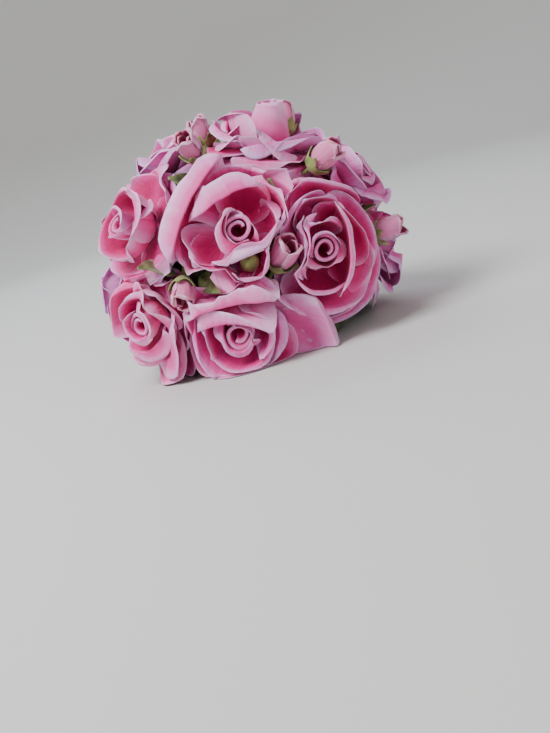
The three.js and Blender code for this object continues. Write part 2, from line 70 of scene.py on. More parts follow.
# How petals lie on the cap and beside their neighbours: lengths in millimetres, the rest as shares
PETAL_LIFT = 0.6  # over the cap
DRAPE = 0.62  # how closely petals follow the cap where it curves away
ROOM_USED = 1.18  # how far a petal may reach into the room between its neighbours
LONGEST_REACH = 95
UNTOUCHED = 0.42  # part of a petal's reach that the neighbours leave alone
GIVE = 0.85  # how strongly the rest is drawn in
FREE_GAIN = 3  # a petal with a higher gain isn't drawn in
CROWD_RISE = 0.22  # how far cloth rises for each millimetre that it is drawn in
SOFT_FLOOR = 7  # height from which petals bend along the surface below
LOWEST = 0.8
CLOSED = 0.8  # a calyx with more sepals than this hides its bud
SOFTNESS = 1.35  # how far round a bud's own space petals are pushed aside

# How cloth folds: angles in radians, the rest as shares
PETAL_FAN = 82  # degrees to each side of its middle line that a petal's rays cover
USUAL_END = 1.75  # the angle from the rose's axis at which turned cloth ends
LEAST_TURN = 0.6
USUAL_TURN = 1.9
CREASES = 5
PALE_SHARE = 0.62  # breadth of the pale rim over the breadth of the turned cloth


def table(names, rows):
    """Rows as dictionaries with the named columns, and what else a row has in a dictionary at its end."""
    names = names.split()
    return [dict(zip(names, row), **dict(*row[len(names):])) for row in rows]


# The roses: around in degrees and rise as a share of the cap's height say where each is sewn on, lean tips
# its axis, and rings are those that keep their petals where PETALS lists the others. pale widens the pale
# rims of the roses at the top, left and back, as painted rim light, and hue is painted light and shade: it
# tints a rose from lilac, below 0, most on the top, left and back where cool light falls, to warm pink,
# above 0, on the shaded right.
ROSES = table("name around rise lean spin size", [
    ("rose_top", -5, 0.965, (0.05, -0.15, 0), 20, 1.06, dict(rings=(4,), pale=1.15, hue=-0.05)),
    ("rose_right_middle", -89, 0.66, (0.08, -0.1, -0.15), 170, 1.04, dict(rings=(0,), hue=0.2)),
    ("rose_right_front", -52, 0.45, (-0.35, -0.35, 0.1), 80, 1.02, dict(rings=(0,))),
    ("rose_right_low", -97, 0.29, (-0.1, 0, -0.5), 20, 0.98, dict(rings=(0,), hue=0.1)),
    ("rose_right_back", -142, 0.36, (0.1, -0.1, -0.1), 200, 0.95, dict(hue=0.15)),
    ("rose_right_upper", -143, 0.76, (-0.25, 0.1, 0), 250, 0.98, dict(rings=(0,))),
    ("rose_front_upper", -4, 0.68, (0, 0, 0.1), 310, 0.9, dict(hue=-0.15)),
    ("rose_front_low", 6, 0.34, (0, 0, 0.1), 40, 0.8, dict(hue=-0.1)),
    ("rose_left_front", 54, 0.44, (0, 0.1, 0), 120, 1.0),
    ("rose_left_middle", 88, 0.68, (0, 0, -0.1), 220, 1.02),
    ("rose_left_low", 94, 0.28, (0, 0, -0.2), 60, 0.96),
    ("rose_left_back", 139, 0.36, (0, 0, -0.1), 300, 0.96, dict(pale=1.3, hue=-0.25)),
    ("rose_left_upper", 140, 0.77, (0, 0.1, 0), 10, 0.98, dict(pale=1.4, hue=-0.3)),
    ("rose_back", 178, 0.46, (0, 0, 0), 90, 0.9, dict(pale=1.7, hue=-0.4)),
    ("rose_top_back", 165, 0.955, (-0.1, 0.05, 0), 170, 0.85, dict(pale=1.7, hue=-0.35)),
])

# The buds: towards is where each points, stand how far its foot is over the cap in rose heights, sepals how
# far the calyx closes over it, and room how wide a space petals leave in front of it, in bud radii.
BUDS = table("name around rise towards stand size sepals", [
    ("top_back", -13, 1.0, (-0.25, -0.2, 0.95), 0.44, 0.9, 0.4),
    ("upper_back", -97, 0.95, (-0.3, -0.6, 0.75), 0.56, 0.95, 0.55),
    ("hanging", -120, 0.59, (-0.15, -0.8, -0.58), 0.61, 0.9, 0.5),
    ("side", -82, 0.385, (0.55, -0.62, 0.56), 0.5, 1.1, 0.5),
    ("green_high", -88, 0.47, (0.1, -0.95, 0.3), 0.54, 0.6, 0.85, dict(room=2.4)),
    ("green_low", -88, 0.4, (0, -0.95, -0.1), 0.46, 0.52, 0.85, dict(room=1.3)),
    ("front_upper", -42, 0.81, (0.85, -0.3, 0.35), 0.44, 1.1, 0.4),
    ("front", -20, 0.41, (0.92, -0.2, 0.1), 0.39, 1.0, 0.45),
    ("top_front", 12, 0.9, (0.1, 0.35, 0.93), 0.61, 1.0, 0.35),
    ("left_front", 57, 0.66, (0.4, 0.8, 0.3), 0.44, 1.0, 0.5),
    ("left_upper", 95, 0.92, (-0.1, 0.7, 0.7), 0.56, 0.95, 0.5),
    ("left_back", 117, 0.54, (-0.4, 0.85, 0.2), 0.42, 0.95, 0.5),
    ("back", 160, 0.7, (-0.8, 0.3, 0.5), 0.5, 0.9, 0.5),
])

# The leaves: facing is where the upper side looks.
LEAVES = table("name around rise towards facing size", [
    ("leaf_upper_back", -104, 0.88, (-0.62, -0.5, 0.62), (-0.2, -0.7, 0.7), 1.0),
    ("leaf_back_pair_high", -124, 0.54, (-0.6, -0.75, 0.45), (-0.3, -0.7, 0.6), 1.25),
    ("leaf_back_pair_low", -112, 0.5, (0.35, -0.75, -0.3), (0, -1, 0.3), 1.05),
    ("leaf_side", -95, 0.46, (-0.45, -0.8, 0.1), (0, -0.6, 0.8), 0.75),
    ("leaf_front_upper", -58, 0.75, (-0.1, -0.75, 0.6), (0.3, -0.7, 0.6), 0.9),
    ("leaf_front", -22, 0.5, (0.85, -0.25, 0.5), (0.4, -0.3, 0.9), 0.9),
    ("leaf_left_front", 62, 0.6, (0.1, 0.85, 0.4), (0.2, 0.8, 0.5), 1.0),
    ("leaf_left_back", 112, 0.52, (-0.2, 0.85, -0.3), (-0.2, 0.9, 0.3), 1.0),
])

# Rings of petals round the rolled centre, in millimetres on a rose of full size: foot and lift are where a
# petal starts, reach and high where its rim is, wide half its width, and belly how far it bows out on the
# way. margin is the breadth of the cloth that folds back, roll the radius of that fold, and lap how far a
# petal's one edge lies further out than its other.
RINGS = table("count start foot lift reach high wide belly roll margin lap", [
    (2, 10, 6, 12, 12.5, 40, 24, 0.2, 1.1, 6, 1.8),
    (3, 70, 9, 8, 26, 41, 32, 0.5, 1.3, 11, 3.0),
    (4, 30, 10, 5, 42, 37, 38, 0.5, 1.5, 15, 3.4),
    (5, 0, 11, 3, 58, 25, 42, 0.3, 1.7, 17, 3.4),
    (5, 36, 11, 2, 70, 10, 44, 0.05, 1.8, 14, 2.6),
])

# Large petals that the photograph shows one by one: turn round the rose's axis in degrees, reach, high,
# wide, bend (the radius across the petal over its reach), the straight folds (direction from the petal's
# middle line in degrees, breadth of cloth turned over, angle from the rose's axis at which it ends), and
# what else differs. pale is the breadth of the pale rim, square how boxy the cloth is cut, gain how far the
# petal may press its neighbours, and free how little it follows the cap.
PETALS = {
    "rose_right_middle": [
        (176, 10, 43, 24, 1.4, [(-20, 3), (30, 3)], dict(foot=17, lift=12, belly=0.3, pale=3)),
        (100, 27, 47, 34, 3.0, [(-6, 18, 1.6), (46, 12)], dict(pale=9, tilt=-4, belly=0.9, ruffle=0.3)),
        (
            136, 44, 44, 50, 4.0, [(0, 17, 1.6)],
            dict(square=8, belly=0.95, gain=4, ruffle=0.2, crumple=0.08, pale=10),
        ),
        (60, 38, 42, 28, 0.8, [(-42, 9), (30, 4)], dict(pale=4)),
        (-3, 31, 42, 22, 1.4, [(-40, 10), (42, 11)], dict(pale=8, belly=0.8)),
        (26, 44, 40, 32, 1.2, [(30, 14)], dict(pale=9, belly=0.6)),
        (-78, 19, 43, 34, 3.5, [(0, 8, 1.6)], dict(square=7, belly=0.8, ruffle=0.2, crumple=0.08, pale=7)),
        (-58, 26, 42, 40, 4.0, [(4, 9, 1.6)], dict(square=7, belly=0.9, ruffle=0.2, crumple=0.08, pale=8)),
        (-138, 45, 40, 38, 0.66, [(-30, 5), (28, 4)], dict(belly=0.8, gain=1.6, pale=4.5)),
        (-134, 54, 32, 34, 0.9, [(-10, 9, 1.4)], dict(pale=9, belly=0.6)),
        (200, 42, 36, 30, 1.8, [(24, 12)], dict(pale=9, belly=0.5)),
        (80, 56, 30, 40, 1.2, [(-30, 12), (35, 10)]),
        (160, 52, 26, 40, 1.4, [(0, 12)]),
        (50, 56, 24, 36, 1.2, [(20, 10)]),
    ],
    "rose_right_front": [
        (87, 22, 42, 24, 1.0, [(-30, 6), (30, 7)]),
        (-16, 21, 47, 42, 3.5, [(0, 5, 1.6)], dict(square=6, pale=4, ruffle=0.3, crumple=0.1)),
        (84, 43, 42, 26, 0.8, [(-36, 5), (40, 6)], dict(pale=4, belly=0.7)),
        (22, 38, 38, 36, 1.4, [(34, 6)], dict(pale=3.5, gain=1.5)),
        (12, 54, 34, 44, 1.8, [(-24, 12)], dict(gain=1.6)),
        (62, 60, 38, 46, 3.0, [(0, 7, 1.5), (-50, 13)], dict(square=7, gain=1.8, pale=7, belly=0.7)),
        (108, 46, 38, 32, 1.6, [(20, 11)]),
        (-116, 35, 38, 38, 0.8, [(0, 5)], dict(belly=0.8, pale=4)),
        (-99, 52, 24, 46, 1.8, [(-12, 13, 1.7)], dict(gain=1.5)),
        (-70, 60, 16, 46, 1.6, [(20, 14)], dict(gain=1.6)),
        (-118, 58, 12, 40, 1.4, [(-20, 12)], dict(gain=1.5)),
        (150, 18, 42, 30, 2.4, [(-14, 8), (48, 7)]),
        (160, 25, 38, 28, 2.2, [(8, 9)], dict(square=6)),
        (-30, 50, 28, 42, 1.6, [(-30, 12), (36, 14)], dict(gain=1.6)),
        (-82, 70, 10, 50, 2.2, [(-14, 14)], dict(gain=2.4, free=0.3)),
        (-52, 70, 10, 48, 2.2, [(18, 12)], dict(gain=2.4, free=0.3)),
        (-8, 66, 16, 44, 1.8, [(-20, 12)], dict(gain=1.5)),
        (38, 66, 20, 44, 1.8, [(20, 12)], dict(gain=1.5)),
        (82, 66, 20, 40, 1.8, [(0, 12)]),
    ],
    "rose_right_low": [
        (84, 15, 44, 36, 3.4, [(12, 14, 1.6)], dict(square=7, belly=0.7, ruffle=0.2, crumple=0.06, pale=9)),
        (
            88, 29, 43, 44, 4.0, [(4, 16, 1.6)],
            dict(square=8, belly=0.95, gain=1.7, ruffle=0.2, crumple=0.06, pale=10),
        ),
        (0, 25, 40, 30, 0.9, [(0, 6, 1.6)], dict(pale=4)),
        (-27, 80, 32, 33, 4.0, [(40, 22, 2.9), (-40, 6)],
         dict(square=8, belly=0.4, gain=4, free=0.8, ruffle=0.6, crumple=0.25, pale=24)),
        (34, 44, 34, 30, 1.6, [(24, 12)], dict(gain=1.6, belly=0.6)),
        (180, 28, 38, 34, 1.4, [(-36, 10), (34, 9)]),
        (205, 44, 34, 38, 1.4, [(-30, 12), (40, 10)]),
        (160, 50, 28, 30, 1.5, [(20, 14)]),
        (-90, 26, 38, 36, 1.3, [(10, 7, 1.5)], dict(pale=4)),
        (-58, 36, 32, 30, 1.6, [(-30, 9), (34, 11)], dict(pale=8)),
        (-116, 42, 30, 40, 1.5, [(-34, 10), (30, 9)], dict(pale=5)),
        (-90, 58, 22, 44, 2.0, [(10, 10)], dict(pale=6)),
        (-140, 58, 22, 40, 2.0, [(20, 12)], dict(pale=6)),
    ],
    "rose_right_upper": [
        (40, 26, 36, 34, 1.2, [(0, 8)]),
        (-20, 28, 36, 36, 1.3, [(-34, 8), (34, 9)]),
        (100, 28, 38, 36, 1.2, [(10, 9)]),
        (200, 28, 38, 36, 1.2, [(-10, 9)]),
        (10, 58, 20, 46, 2.4, [(-10, 6, 1.3)], dict(square=5, gain=1.6, belly=0.1, pale=5)),
        (-40, 56, 22, 42, 1.8, [(-36, 10), (36, 10)], dict(gain=1.5, belly=0.1, pale=5)),
        (55, 54, 30, 44, 2.0, [(14, 14)], dict(gain=1.4)),
        (110, 52, 30, 42, 1.2, [(-30, 14), (30, 12)]),
        (170, 52, 28, 42, 1.2, [(-10, 14)]),
        (230, 54, 26, 42, 1.2, [(-34, 12), (30, 12)]),
        (285, 56, 22, 44, 1.3, [(0, 12)]),
    ],
    "rose_top": [
        (176, 34, 33, 26, 1.8, [(-34, 8), (30, 9)], dict(foot=20, pale=11)),
        (136, 36, 38, 36, 1.8, [(-10, 9)], dict(foot=20, pale=11)),
        (12, 36, 37, 28, 1.8, [(-34, 7), (30, 8)], dict(foot=20, pale=8)),
        (75, 34, 38, 42, 1.6, [(-30, 9), (30, 8)], dict(foot=19)),
        (
            -94, 38, 27, 46, 3.4, [(2, 3, 1.6)],
            dict(foot=25, lift=5, belly=0.5, pale=6, ruffle=0.4, crumple=0.1),
        ),
        (-70, 47, 21, 38, 3.0, [(8, 13, 2.7)], dict(foot=24, belly=0.4, pale=9, gain=1.4, crumple=0.1)),
        (-132, 48, 28, 42, 2.8, [(-16, 13, 2.4)], dict(foot=20, belly=0.2, pale=11, gain=1.4)),
        (-172, 52, 28, 42, 1.8, [(-34, 11), (30, 12)], dict(foot=18, pale=11, gain=1.4)),
        (-28, 48, 30, 40, 2.4, [(20, 12, 2.2)], dict(foot=20, pale=9, gain=1.4)),
        (20, 50, 32, 42, 1.6, [(-30, 12), (30, 10)], dict(pale=9)),
        (125, 50, 30, 44, 1.6, [(10, 12)]),
        (
            -92, 58, 12, 52, 3.2, [(-6, 15, 2.7)],
            dict(foot=26, belly=0.3, square=6, pale=10, gain=1.4, crumple=0.1),
        ),
        (-140, 62, 15, 46, 2.2, [(-24, 15, 2.4)], dict(foot=22, belly=0.1, gain=1.4, pale=11)),
        (-40, 60, 17, 46, 2.4, [(24, 15, 2.4)], dict(foot=22, belly=0.1, gain=1.4)),
        (60, 62, 14, 48, 1.3, [(-20, 12)]),
    ],
}

cap_low, cap_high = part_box("cap")
CAP_FOOT = np.array([(cap_low[0] + cap_high[0]) / 2, (cap_low[1] + cap_high[1]) / 2, 0]) / MM
CAP_CENTRE = np.array([0, 0, CAP_WIDEST])


def vary(a, b=0):
    """A repeatable number from -1 to 1."""
    wave = math.sin(a * 12.9898 + b * 78.233) * 437.5453
    return 2 * (wave - math.floor(wave)) - 1


def unit(vector):
    vector = np.asarray(vector, float)
    return vector / np.linalg.norm(vector, axis=-1, keepdims=True)


def smooth(low, high, value):
    t = np.clip((value - low) / (high - low), 0, 1)
    return t * t * (3 - 2 * t)


# The cap's surface
def cap_axes(inset=0):
    """Half lengths of the cap's form along X, Y, up and down from its widest section."""
    shrink = (1 - CAP_BULGE ** -CAP_SQUARENESS) ** (1 / CAP_SQUARENESS)
    return (
        HEAD_LENGTH / 2 * CAP_BULGE + CAP_WALL - inset,
        HEAD_WIDTH / 2 * CAP_BULGE + CAP_WALL - inset,
        CAP_HEIGHT - CAP_WIDEST - inset,
        CAP_WIDEST / shrink,
    )


def cap_share(offset):
    """How far a point lies from the cap's centre, over the distance of the surface there."""
    x, y, up, down = cap_axes()
    level = np.hypot(offset[..., 0] / x, offset[..., 1] / y)
    z = offset[..., 2]
    rise = np.abs(z) / np.where(z > 0, up, down)
    return (level ** CAP_SQUARENESS + rise ** CAP_SQUARENESS) ** (1 / CAP_SQUARENESS)


def cap_point(around, height, inset=0):
    x, y, up, down = cap_axes(inset)
    z = height - CAP_WIDEST
    rise = min(1, abs(z) / (up if z > 0 else down))
    level = (1 - rise ** CAP_SQUARENESS) ** (1 / CAP_SQUARENESS)
    return np.array([x * level * math.cos(around), y * level * math.sin(around), height])


def cap_normal(point):
    offset = point - CAP_CENTRE
    step = 0.01
    slope = [cap_share(offset + step * axis) - cap_share(offset) for axis in np.eye(3)]
    return unit(slope)


def rim_height(around):
    t = max(0, (abs(math.cos(around)) - RIM_FLAT) / (1 - RIM_FLAT))
    return RIM_ARCH * t * t * (3 - 2 * t)


def foot_basis(axis, across):
    """Columns X, Y, Z of a frame whose Z is the axis and whose X is as near as can be to across."""
    level = unit(np.cross(axis, across))
    return np.stack([np.cross(level, axis), level, axis], axis=1)


# Rooms of the roses
def rose_rooms():
    """Each rose's place and axis, and the planes that part it from its neighbours."""
    rooms = []
    for row in ROSES:
        foot = cap_point(math.radians(row["around"]), row["rise"] * CAP_HEIGHT)
        outward = cap_normal(foot)
        axis = unit(outward + np.array(row["lean"]))
        across = (1, 0, 0) if axis[2] > 0.95 else np.cross((0, 0, 1), axis)
        foot = foot + outward * 0.5
        room = dict(row=row, foot=foot, axis=axis, basis=foot_basis(axis, across))
        room["middle"] = foot + axis * ROSE_HEIGHT / 2
        room["radius"] = ROSE_RADIUS * row["size"]
        rooms.append(room)
    for room in rooms:
        aways, reaches = [], []
        for other in rooms:
            away = other["middle"] - room["middle"]
            distance = np.linalg.norm(away)
            if other is room or distance > ROSE_REACH * (room["radius"] + other["radius"]):
                continue
            share = (distance ** 2 + room["radius"] ** 2 - other["radius"] ** 2) / (2 * distance)
            away = away / distance
            aways.append(away)
            reaches.append(away @ room["middle"] + share)
        room["aways"] = np.array(aways)
        room["reaches"] = np.array(reaches)
    return rooms


def room_towards(room, side, level):
    """How far a rose can reach to each side before it meets its neighbours."""
    start = room["foot"] + level[..., None] * room["axis"]
    facing = side @ room["aways"].T
    spare = room["reaches"] - start @ room["aways"].T
    crowding = np.where(facing > 0, facing / np.maximum(1, spare), 0) ** 10
    return np.maximum(crowding.sum(axis=-1), 1e-30) ** -0.1


def settle(room, radius, angle, height, gain=1.1, free=0):
    """Places points given round a rose's axis, following the cap below and drawn in by the neighbours."""
    side = np.stack([np.cos(angle), np.sin(angle), np.zeros_like(angle)], axis=-1) @ room["basis"].T
    under = room["foot"] + side * radius[..., None]
    offset = under - CAP_CENTRE
    length = np.linalg.norm(offset, axis=-1)
    above = length - length / cap_share(offset) - PETAL_LIFT
    facing = np.maximum(0.4, offset @ room["axis"] / length)
    level = height - np.where(above > 0, DRAPE * (1 - free) * above, above) / facing
    reach = np.minimum(ROOM_USED * gain * room_towards(room, side, level), LONGEST_REACH)
    kept = UNTOUCHED * reach
    spare = reach - kept
    excess = np.maximum(0, radius - kept)
    drawn = radius if gain > FREE_GAIN else np.minimum(radius, kept) + excess / (1 + GIVE * excess / spare)
    level = level + CROWD_RISE * (radius - drawn)
    point = room["foot"] + side * drawn[..., None] + level[..., None] * room["axis"]
    low = point[..., 2]
    point[..., 2] = np.where(low < SOFT_FLOOR, SOFT_FLOOR * np.exp((low - SOFT_FLOOR) / SOFT_FLOOR), low)
    point[..., 2] = np.maximum(point[..., 2], LOWEST)
    return point


# Buds and leaves push the petals round them aside
def bud_frame(row):
    """Where a bud's foot is, and the frame whose Z runs along the bud."""
    axis = unit(row["towards"])
    across = (1, 0, 0) if abs(axis[2]) > 0.9 else np.cross((0, 0, 1), axis)
    foot = cap_point(math.radians(row["around"]), row["rise"] * CAP_HEIGHT)
    return foot + axis * (row["stand"] * ROSE_HEIGHT), foot_basis(axis, across)


def small_pieces():
    """Spaces that buds and leaves keep, along them and outward: start, axis, stations on it, and radii."""
    spaces = []
    for row in BUDS:
        origin, basis = bud_frame(row)
        length, radius = BUD_LENGTH * row["size"], BUD_RADIUS * row["size"]
        stem = row["stand"] * ROSE_HEIGHT
        stations = np.array([-stem, -4, 0.1 * length, 0.45 * length, length, 1.6 * length, 2.4 * length])
        radii = np.array([3.0, 3.5, 0.75 * radius + 1.5, radius + 2.6, radius + 2.8, 0.8 * radius, 1.0])
        spaces.append((origin, basis[:, 2], stations, radii))
        outward = cap_normal(cap_point(math.radians(row["around"]), row["rise"] * CAP_HEIGHT))
        middle = origin + basis[:, 2] * 0.5 * length
        wider = row.get("room", 1.2)
        spaces.append((middle, outward, np.array([0, 12, 40]), np.array([1, 1, 0.85]) * wider * radius))
    for row in LEAVES:
        axis = unit(row["towards"])
        foot = cap_point(math.radians(row["around"]), row["rise"] * CAP_HEIGHT)
        length = LEAF_LENGTH * row["size"]
        stations = np.array([0, 0.3 * length, 0.6 * length, length, 1.5 * length])
        radii = np.array([2, 7, 8.5, 6, 0.5]) * row["size"]
        spaces.append((foot, axis, stations, radii))
        middle = foot + axis * 0.6 * length
        radii = np.array([11, 15, 13]) * row["size"]
        spaces.append((middle, cap_normal(foot), np.array([-2, 14, 45]), radii))
    return spaces


def make_way(points):
    """Moves points out of the spaces that buds and leaves keep, softly at their edge."""
    for origin, axis, stations, radii in SPACES:
        offset = points - origin
        along = offset @ axis
        outward = offset - along[..., None] * axis
        distance = np.maximum(np.linalg.norm(outward, axis=-1), 1e-3)
        free = np.interp(along, stations, radii, left=0, right=0)
        soft = SOFTNESS * free
        pushed = free + (soft - free) * (distance / np.maximum(soft, 1e-6)) ** 2
        moved = np.where(distance < soft, pushed, distance)
        points = points + outward * (np.maximum(moved, distance) / distance - 1)[..., None]
    return points


SPACES = small_pieces()


# Mesh building
class Shell:
    """Collects sheets of cloth with two faces and a rim as one mesh."""

    def __init__(self):
        self.points, self.faces, self.tones, self.uvs = [], [], [], []
        self.count = 0

    def add(self, grid, tone, wall, uv=None):
        rows, columns = grid.shape[0], grid.shape[1]
        along = np.gradient(grid, axis=0)
        across = np.gradient(grid, axis=1)
        normal = np.cross(across, along)
        normal /= np.maximum(np.linalg.norm(normal, axis=-1, keepdims=True), 1e-9)
        half = wall / 2
        outer = grid + normal * half
        inner = grid - normal * half
        index = np.arange(rows * columns).reshape(rows, columns) + self.count
        a, b, c, d = index[:-1, :-1], index[:-1, 1:], index[1:, 1:], index[1:, :-1]
        front = np.stack([a, b, c, d], axis=-1).reshape(-1, 4)
        back = (front + rows * columns)[:, ::-1]
        rim = []
        edge = list(index[0, :]) + list(index[1:, -1]) + list(index[-1, -2::-1]) + list(index[-2:0:-1, 0])
        for k, one in enumerate(edge):
            two = edge[(k + 1) % len(edge)]
            rim.append((two, one, one + rows * columns, two + rows * columns))
        self.points += [outer.reshape(-1, 3), inner.reshape(-1, 3)]
        self.faces += [front, back, np.array(rim)]
        outside = tone.copy()
        outside[..., 3] = 0
        inside = tone.copy()
        inside[..., 3] = 1
        self.tones += [outside.reshape(-1, 4), inside.reshape(-1, 4)]
        if uv is None:
            u, v = np.meshgrid(np.linspace(0, 1, columns), np.linspace(0, 1, rows))
            uv = np.stack([u, v], axis=-1)
        self.uvs += [uv.reshape(-1, 2), uv.reshape(-1, 2)]
        self.count += 2 * rows * columns

    def build(self, name, material, replaces):
        points = np.concatenate(self.points) + CAP_FOOT
        faces = np.concatenate(self.faces)
        mesh = bpy.data.meshes.new(name)
        mesh.from_pydata((points * MM).tolist(), [], faces.tolist())
        tones = np.concatenate(self.tones)
        layer = mesh.color_attributes.new("petal", "FLOAT_COLOR", "POINT")
        layer.data.foreach_set("color", tones.astype(np.float32).ravel())
        uvs = np.concatenate(self.uvs)
        uv_layer = mesh.uv_layers.new(name="cloth")
        loops = np.zeros(len(mesh.loops), dtype=np.int32)
        mesh.loops.foreach_get("vertex_index", loops)
        uv_layer.data.foreach_set("uv", uvs[loops].astype(np.float32).ravel())
        mesh.polygons.foreach_set("use_smooth", [True] * len(mesh.polygons))
        mesh.materials.append(material)
        mesh.update()
        piece = bpy.data.objects.new(name, mesh)
        bpy.context.scene.collection.objects.link(piece)
        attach(piece, "root")
        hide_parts(*replaces)


# Petals. p holds a petal's sizes: s and t are places on its flat cloth, across from its middle line and up
# from its foot, out is how far the cloth stands out there, and whole is the cloth's full length.
def bow(p, steps=200):
    """A petal's profile at equal steps of its length: radius, height, angle from the axis, and the length."""
    foot = np.array([p["foot"], p["lift"]])
    rim = np.array([p["reach"], p["high"]])
    span = rim - foot
    outward = np.array([span[1], -span[0]])
    sag = np.array([0.12, -0.12])
    middle = foot + span * 0.5 + outward * 0.55 * p["belly"] + sag * span * p["belly"]
    t = np.linspace(0, 1, 400)[:, None]
    curve = foot * (1 - t) ** 2 + 2 * middle * t * (1 - t) + rim * t ** 2
    run = np.concatenate([[0], np.cumsum(np.linalg.norm(np.diff(curve, axis=0), axis=1))])
    even = np.linspace(0, run[-1], steps + 1)
    radius, height = np.interp(even, run, curve[:, 0]), np.interp(even, run, curve[:, 1])
    slope = np.arctan2(np.gradient(radius), np.gradient(height))
    return radius, height, slope, run[-1]


def fold_back(over, roll, most):
    """Cloth folded back round a radius: how far it still carries, and how far it stands out."""
    turned = np.minimum(over / roll, most)
    rest = over - roll * turned
    carried = roll * np.sin(turned) + rest * np.cos(turned)
    back = roll * (1 - np.cos(turned)) + rest * np.sin(turned)
    return carried, back


def cloth_share(p, whole, s, t):
    """How far a place on the cloth lies towards the cloth's edge, which is at 1."""
    power = p["square"]
    tall, middle = 0.54 * whole, 0.46 * whole
    taper = 0.42 + 0.58 * smooth(-0.1, 0.6, t / whole)
    return ((np.abs(s) / (p["wide"] * taper)) ** power + (np.abs(t - middle) / tall) ** power) ** (1 / power)


def cloth_reach(p, whole, angles, trials=160):
    """How far the cloth reaches from its foot in each direction, found by trial along each ray."""
    far = p["wide"] + whole
    trial = np.linspace(0, 1, trials)[:, None] * far
    inside = cloth_share(p, whole, trial * np.sin(angles), trial * np.cos(angles)) < 1
    first_out = np.argmax(~inside, axis=0)
    reach = np.maximum(0.02 * whole, (first_out - 0.5) / (trials - 1) * far)
    return np.convolve(np.pad(reach, 1, "edge"), [0.25, 0.5, 0.25], "valid")


def fit_folds(p, angles, heads, length, rim_slope):
    """Cuts the cloth so that the petal has its length once it is folded, and places the fold lines on it."""
    whole = length
    for _ in range(3):
        cut = whole
        reach = cloth_reach(p, cut, angles)
        outline = heads * reach
        lines = []
        for direction, band, ends in p["folds"]:
            normal = np.array([math.sin(math.radians(direction)), math.cos(math.radians(direction))])
            level = (normal @ outline).max() - band
            lines.append((normal, level, max(LEAST_TURN, ends - rim_slope)))
        crossing = reach.copy()
        for normal, level, _most in lines:
            facing = normal @ heads
            meets = level / np.maximum(facing, 0.05)
            crossing = np.minimum(crossing, np.where(facing > 0.05, meets, crossing))
        crossing = np.clip(crossing, 0.3 * reach, 0.97 * reach)
        whole = length + 0.9 * (reach - crossing)[len(angles) // 2]
    return cut, whole, reach, crossing, lines


def crease(p, s, t, whole, rise):
    """Straight creases, mostly from foot to rim."""
    seed = p["seed"]
    out = np.zeros_like(s)
    for k in range(CREASES):
        lean = math.radians(26 * vary(seed, 31 + k))
        offset = 0.75 * p["wide"] * vary(seed, 41 + k)
        distance = np.abs((s - offset) * math.cos(lean) - (t - 0.5 * whole) * math.sin(lean))
        breadth = (0.16 + 0.08 * vary(seed, 51 + k)) * p["wide"] + 1
        ridge = np.maximum(0, breadth - np.sqrt(distance ** 2 + 0.3))
        out = out + p.get("crumple", 0.2) * vary(seed, 61 + k) * ridge * rise
    return out


def turn_over(p, s, t, lines):
    """Folds the cloth past each line: where it comes to lie, and how far it stands out."""
    past = [np.maximum(0, normal[0] * s + normal[1] * t - level) for normal, level, _ in lines]
    total = sum(past) + 1e-9
    most = sum(q * line[2] for q, line in zip(past, lines)) / total
    over_s = sum(q * line[0][0] for q, line in zip(past, lines))
    over_t = sum(q * line[0][1] for q, line in zip(past, lines))
    over = np.hypot(over_s, over_t) + 1e-9
    carried, back = fold_back(over, p["roll"], np.maximum(most, LEAST_TURN))
    return s - over_s * (1 - carried / over), t - over_t * (1 - carried / over), back


def stand_up(p, profile, s, t, out, tilt):
    """Bows the folded cloth along the petal's profile and bends it round the axis or a radius of its own."""
    radius, height, slope, length = profile
    steps = np.linspace(0, 1, len(radius))
    along = t / length
    last = np.clip(along, 0, 1)
    r = np.interp(last, steps, radius)
    h = np.interp(last, steps, height)
    angle = np.interp(last, steps, slope)
    r = r + (along - last) * length * np.sin(angle) + out * np.cos(angle)
    h = h + (along - last) * length * np.cos(angle) - out * np.sin(angle)
    h = h + tilt
    share = p.get("bend", 1)
    bend = np.maximum(share * np.interp(last, steps, radius), 0.5 * p["reach"] * share)
    # A share of 1 keeps the petal round the axis itself
    middle = r if share == 1 else bend
    x = r - middle + middle * np.cos(s / bend)
    y = middle * np.sin(s / bend)
    return np.hypot(x, y), math.radians(p["turn"]) + np.arctan2(y, x), h


